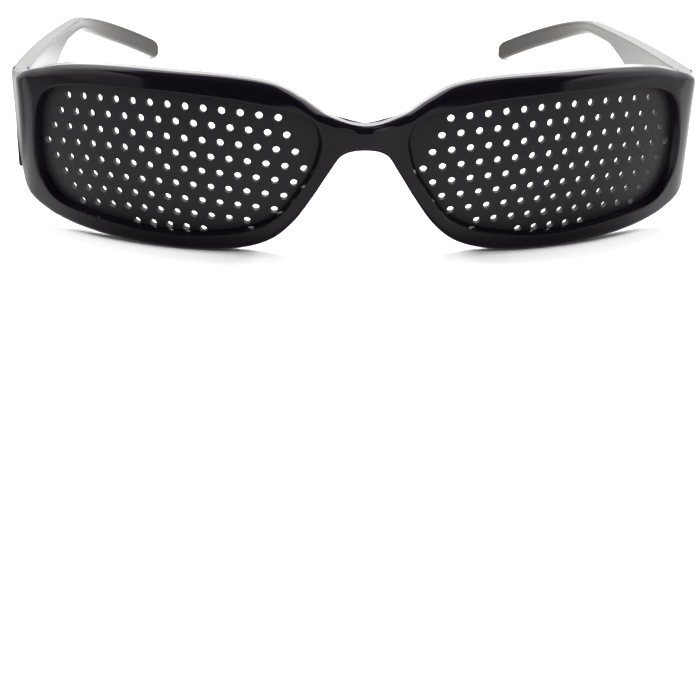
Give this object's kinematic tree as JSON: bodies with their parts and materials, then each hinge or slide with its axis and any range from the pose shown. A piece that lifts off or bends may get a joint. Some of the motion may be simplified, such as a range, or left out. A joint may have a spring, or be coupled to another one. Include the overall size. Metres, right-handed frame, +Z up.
{
  "type": "pinhole glasses",
  "caption": "Wrapped black glasses with perforated plates in place of lenses, wide flat folding temples and small barrel hinges.",
  "frame": {"origin": "on the table under the middle of the open glasses, on the middle plane", "axes": "+Z up, -Y the way the wearer looks, +X the wearer's left; temples open, standing on the lower rims and the temple tips"},
  "size_m": [0.1418, 0.1608, 0.0365],
  "materials": {
    "front_gloss": "polished moulding",
    "lens_satin": "satin",
    "temple_satin": "satin gloss",
    "hinge_steel": "plated"
  },
  "bodies": {
    "front": {"front_frame": "front_gloss", "left_lens": "lens_satin", "right_lens": "lens_satin", "left_front_leaf": "hinge_steel", "right_front_leaf": "hinge_steel", "left_hinge_screw": "hinge_steel", "right_hinge_screw": "hinge_steel"},
    "left_arm": {"left_temple": "temple_satin", "left_temple_leaf": "hinge_steel"},
    "right_arm": {"right_temple": "temple_satin", "right_temple_leaf": "hinge_steel"}
  },
  "joints": [
    {"name": "left_hinge", "type": "hinge", "parent": "front", "child": "left_arm", "pos_m": [0.06574, -0.04478, 0.01965], "axis": [0, 0.058, 0.9983], "range_deg": [0, 86]},
    {"name": "right_hinge", "type": "hinge", "parent": "front", "child": "right_arm", "pos_m": [-0.06574, -0.04478, 0.01965], "axis": [0, -0.058, -0.9983], "range_deg": [0, 76]}
  ]
}
